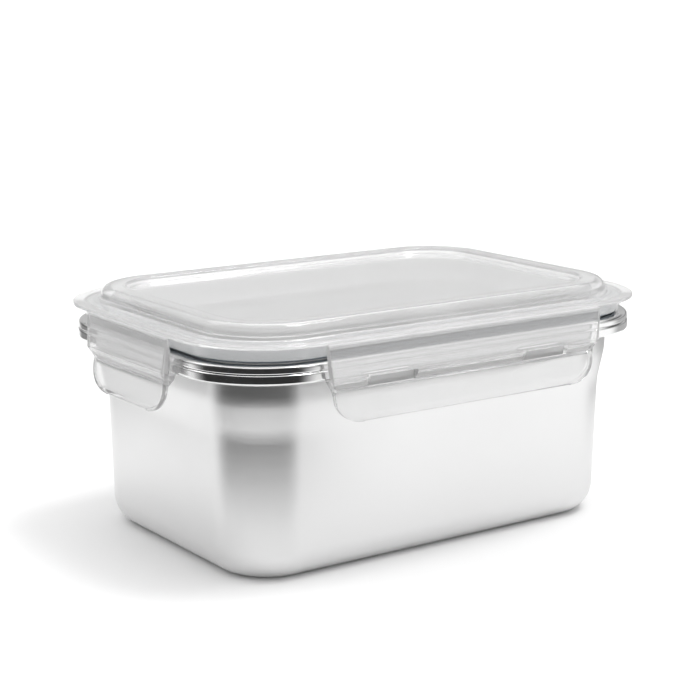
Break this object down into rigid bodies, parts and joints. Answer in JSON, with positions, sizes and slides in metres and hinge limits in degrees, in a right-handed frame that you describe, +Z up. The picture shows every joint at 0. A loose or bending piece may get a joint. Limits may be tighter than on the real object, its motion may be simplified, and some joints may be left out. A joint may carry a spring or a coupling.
{
  "type": "lunch box",
  "caption": "Rectangular stainless steel food container with a clear lid, a sealing ring and hinged side latches that clip under its rolled rim.",
  "frame": {"origin": "centre of the container's flat base, on the surface it stands on", "axes": "+X along the long side, +Y along the short side towards the back, +Z up"},
  "size_m": [0.2228, 0.1588, 0.1019],
  "materials": {
    "steel": "satin drawn stainless steel with a polished rolled rim",
    "clear_plastic": "clear glossy polypropylene",
    "silicone": "translucent blue-grey silicone",
    "latch_plastic": "translucent milky polypropylene"
  },
  "bodies": {
    "container": {"container": "steel"},
    "lid": {"lid": "clear_plastic", "gasket": "silicone"},
    "latch_front": {"latch_front": "latch_plastic"},
    "latch_back": {"latch_back": "latch_plastic"},
    "latch_left": {"latch_left": "latch_plastic"},
    "latch_right": {"latch_right": "latch_plastic"}
  },
  "joints": [
    {"name": "lid_lift", "type": "slide", "parent": "container", "child": "lid", "axis": [0, 0, 1], "range_m": [0, 0.12]},
    {"name": "latch_front_hinge", "type": "hinge", "parent": "lid", "child": "latch_front", "pos_m": [0, -0.0775, 0.0942], "axis": [-1, 0, 0], "range_deg": [0, 150]},
    {"name": "latch_back_hinge", "type": "hinge", "parent": "lid", "child": "latch_back", "pos_m": [0, 0.0775, 0.0942], "axis": [1, 0, 0], "range_deg": [0, 150]},
    {"name": "latch_left_hinge", "type": "hinge", "parent": "lid", "child": "latch_left", "pos_m": [-0.1095, 0, 0.0942], "axis": [0, 1, 0], "range_deg": [0, 150]},
    {"name": "latch_right_hinge", "type": "hinge", "parent": "lid", "child": "latch_right", "pos_m": [0.1095, 0, 0.0942], "axis": [0, -1, 0], "range_deg": [0, 150]}
  ]
}
